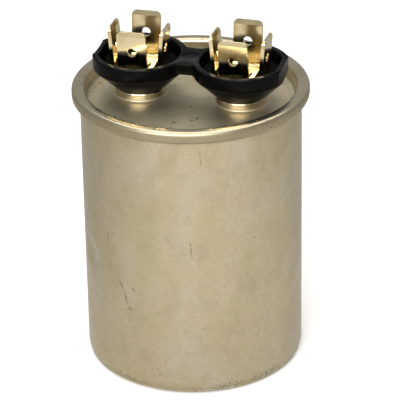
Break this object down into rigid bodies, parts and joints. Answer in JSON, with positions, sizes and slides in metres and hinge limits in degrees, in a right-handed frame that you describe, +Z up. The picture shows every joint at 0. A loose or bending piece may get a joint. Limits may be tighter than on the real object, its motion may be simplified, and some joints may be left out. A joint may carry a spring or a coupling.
{
  "type": "motor run capacitor",
  "caption": "Round motor run capacitor: drawn aluminium can, rolled double seam, countersunk cover and black moulded cups round its quick-connect tab terminals.",
  "frame": {"origin": "centre of the can's flat base, on the surface that it stands on", "axes": "+Z up along the can's axis, towards the terminals; +X along the line from the left terminal to the right one; -Y is the front"},
  "size_m": [0.0508, 0.0508, 0.0764],
  "materials": {
    "can_aluminium": "satin drawn aluminium with a warm cast",
    "cover_aluminium": "matte stamped aluminium",
    "seam_compound": "dark sealing compound",
    "black_moulding": "black moulding with a low sheen",
    "tab_brass": "bright rolled brass strip",
    "rivet_brass": "formed brass",
    "gasket_rubber": "soft rubber",
    "bushing_laminate": "brown paper laminate",
    "washer_steel": "plated steel",
    "tinned_strip": "tinned copper strip",
    "film_roll": "metallised film edge on",
    "core_plastic": "natural plastic tube",
    "wrap_film": "clear yellowish film",
    "sprayed_zinc": "rough sprayed zinc",
    "tray_plastic": "natural moulded plastic",
    "plate_plastic": "natural moulded plastic"
  },
  "bodies": {
    "root": {"can": "can_aluminium", "cover": "cover_aluminium", "seam_compound": "seam_compound", "terminal_cup": "black_moulding", "winding": "film_roll", "core_tube": "core_plastic", "outer_wrap": "wrap_film", "upper_contact_layer": "sprayed_zinc", "lower_contact_layer": "sprayed_zinc", "bottom_tray": "tray_plastic", "interrupter_plate": "plate_plastic", "left_rivet": "rivet_brass", "left_long_tabs": "tab_brass", "left_side_tabs": "tab_brass", "left_gasket": "gasket_rubber", "left_bushing": "bushing_laminate", "left_washer": "washer_steel", "left_lead": "tinned_strip", "right_rivet": "rivet_brass", "right_long_tabs": "tab_brass", "right_side_tabs": "tab_brass", "right_gasket": "gasket_rubber", "right_bushing": "bushing_laminate", "right_washer": "washer_steel", "right_lead": "tinned_strip"}
  },
  "joints": []
}
